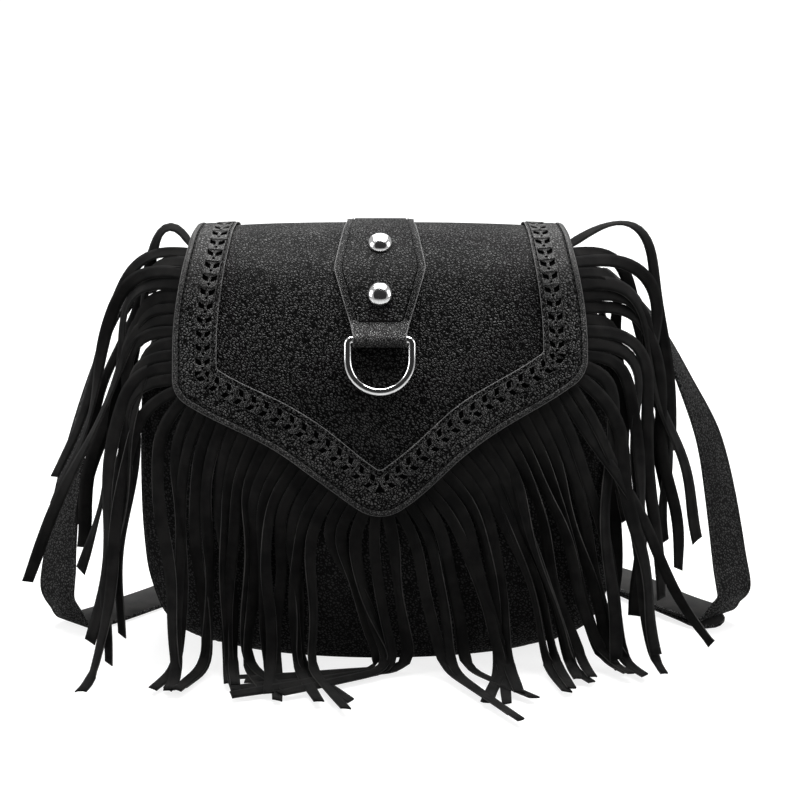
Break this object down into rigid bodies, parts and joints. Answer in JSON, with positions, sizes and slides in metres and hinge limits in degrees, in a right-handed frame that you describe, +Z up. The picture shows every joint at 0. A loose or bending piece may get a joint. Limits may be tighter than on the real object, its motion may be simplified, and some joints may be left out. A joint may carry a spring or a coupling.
{
  "type": "fringed shoulder bag",
  "caption": "Shoulder bag with a pointed front flap, braided border, centre tab with domed rivets and a D-ring, long fringe round the flap and a buckled strap.",
  "frame": {"origin": "middle of the flat base, on the surface that the bag stands on", "axes": "+Z up, the front with the flap faces -Y, +X to the right seen from the front"},
  "size_m": [0.4482, 0.2491, 0.2595],
  "materials": {
    "pebbled_leather": "black pebbled grain, satin",
    "edge_leather": "black fine grain, satin",
    "suede": "black suede, matt",
    "lining_cloth": "plain black lining cloth",
    "polished_steel": "polished, silver coloured"
  },
  "bodies": {
    "bag": {"front_panel": "pebbled_leather", "back_panel": "pebbled_leather", "gusset": "pebbled_leather", "lining": "lining_cloth", "snap_socket": "polished_steel", "ring_tab_left": "pebbled_leather", "ring_tab_right": "pebbled_leather", "strap_ring_left": "polished_steel", "strap_ring_right": "polished_steel", "strap_long": "pebbled_leather", "strap_short": "pebbled_leather", "strap_keeper": "pebbled_leather", "buckle_frame": "polished_steel", "buckle_prong": "polished_steel"},
    "flap": {"flap_panel": "pebbled_leather", "flap_lining": "lining_cloth", "flap_border": "edge_leather", "braided_lacing": "edge_leather", "centre_tab": "pebbled_leather", "rivet_upper": "polished_steel", "rivet_lower": "polished_steel", "snap_stud": "polished_steel", "fringe_left_side": "suede", "fringe_left_front": "suede", "fringe_right_front": "suede", "fringe_right_side": "suede"},
    "d_ring_body": {"d_ring": "polished_steel"}
  },
  "joints": [
    {"name": "flap_hinge", "type": "hinge", "parent": "bag", "child": "flap", "pos_m": [0, 0.0336, 0.2442], "axis": [-1, 0, 0], "range_deg": [0, 180]},
    {"name": "d_ring_swing", "type": "hinge", "parent": "flap", "child": "d_ring_body", "pos_m": [0, -0.05934, 0.20303], "axis": [-1, 0, 0], "range_deg": [0, 150]}
  ]
}
